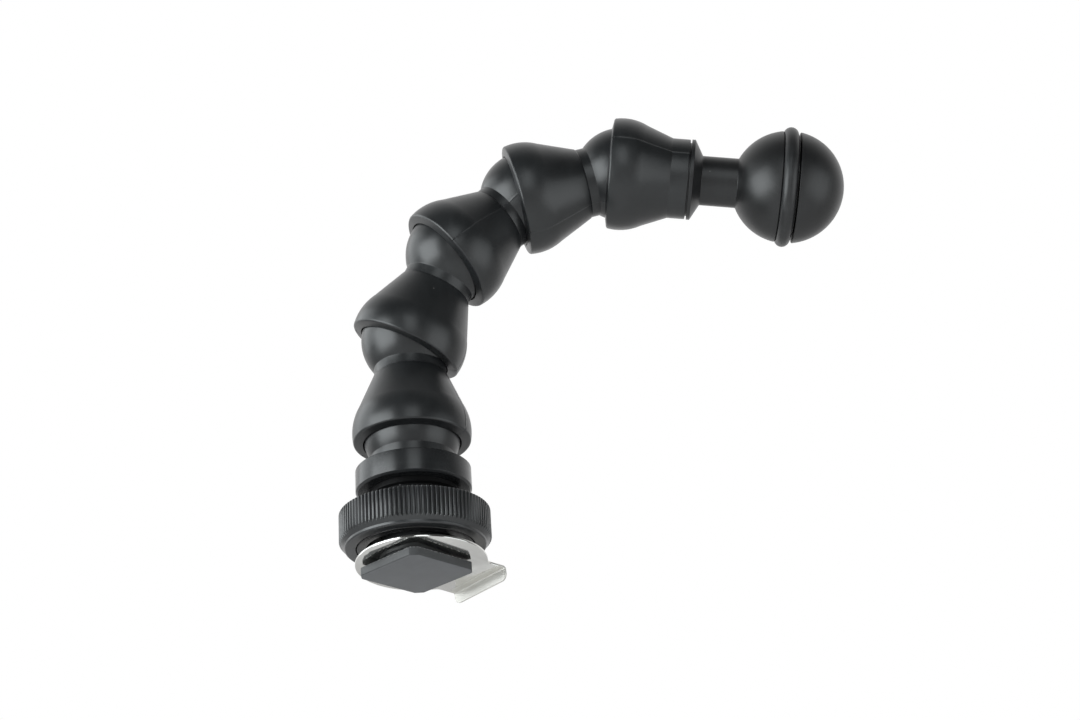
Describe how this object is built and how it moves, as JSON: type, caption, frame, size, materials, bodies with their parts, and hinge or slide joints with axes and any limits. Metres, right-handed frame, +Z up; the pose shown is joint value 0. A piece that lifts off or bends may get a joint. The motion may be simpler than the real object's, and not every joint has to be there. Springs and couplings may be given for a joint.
{
  "type": "flexible mounting arm",
  "caption": "Flexible arm of black ball-and-socket segments, with an accessory-shoe foot, a knurled clamp ring and a steel locking plate at one end and a grooved mounting ball at the other.",
  "frame": {"origin": "centre of the foot's underside", "axes": "+Z up the axis of the base, +X the side towards which the arm bends; the foot's shoe direction lies 45.8 degrees from +X towards +Y"},
  "size_m": [0.1154, 0.0336, 0.1065],
  "materials": {
    "foot_aluminium": "grey matt anodised",
    "plate_steel": "polished stainless sheet",
    "disc_nylon": "black moulded",
    "base_aluminium": "black anodised, turned",
    "arm_plastic": "black moulded, satin",
    "screw_steel": "plain",
    "ball_aluminium": "black anodised, fine blasted",
    "ring_rubber": "matt black"
  },
  "bodies": {
    "base": {"shoe_foot": "foot_aluminium", "base_collar": "base_aluminium", "base_ball": "arm_plastic", "base_screw": "screw_steel", "spring_washer": "screw_steel"},
    "plate": {"locking_plate": "plate_steel"},
    "disc": {"pressure_disc": "disc_nylon"},
    "ring": {"clamp_ring": "base_aluminium"},
    "segment_1": {"arm_segment_1": "arm_plastic"},
    "segment_2": {"arm_segment_2": "arm_plastic"},
    "segment_3": {"arm_segment_3": "arm_plastic"},
    "segment_4": {"arm_segment_4": "arm_plastic"},
    "tip": {"end_segment": "arm_plastic", "ball_adapter": "ball_aluminium", "ball_o_ring": "ring_rubber"}
  },
  "joints": [
    {"name": "bend_1", "type": "hinge", "parent": "base", "child": "segment_1", "pos_m": [0, 0, 0.03173], "axis": [0, 1, 0], "range_deg": [-19.5, 19.1]},
    {"name": "bend_2", "type": "hinge", "parent": "segment_1", "child": "segment_2", "pos_m": [0.00008, 0.00035, 0.05413], "axis": [0, 1, 0], "range_deg": [-55.5, 0.3]},
    {"name": "bend_3", "type": "hinge", "parent": "segment_2", "child": "segment_3", "pos_m": [0.01047, -0.00195, 0.07384], "axis": [0, 1, 0], "range_deg": [-49.8, 5.2]},
    {"name": "bend_4", "type": "hinge", "parent": "segment_3", "child": "segment_4", "pos_m": [0.02764, -0.00109, 0.0882], "axis": [0, 1, 0], "range_deg": [-56.2, 0.6]},
    {"name": "bend_5", "type": "hinge", "parent": "segment_4", "child": "tip", "pos_m": [0.04954, -0.00168, 0.09289], "axis": [0, 1, 0], "range_deg": [-50.4, 7]},
    {"name": "disc_slide", "type": "slide", "parent": "base", "child": "disc", "axis": [0, 0, 1], "range_m": [-0.0016, 0.0043]},
    {"name": "ring_spin", "type": "hinge", "parent": "disc", "child": "ring", "pos_m": [0, 0, 0.01], "axis": [0, 0, 1], "range_deg": [-574, 1545]},
    {"name": "plate_slide", "type": "slide", "parent": "base", "child": "plate", "axis": [0, 0, 1], "range_m": [0, 0.0016]}
  ],
  "couplings": [
    {"joint": "disc_slide", "follows": "ring_spin", "m_per_rad": 0.00015915}
  ]
}
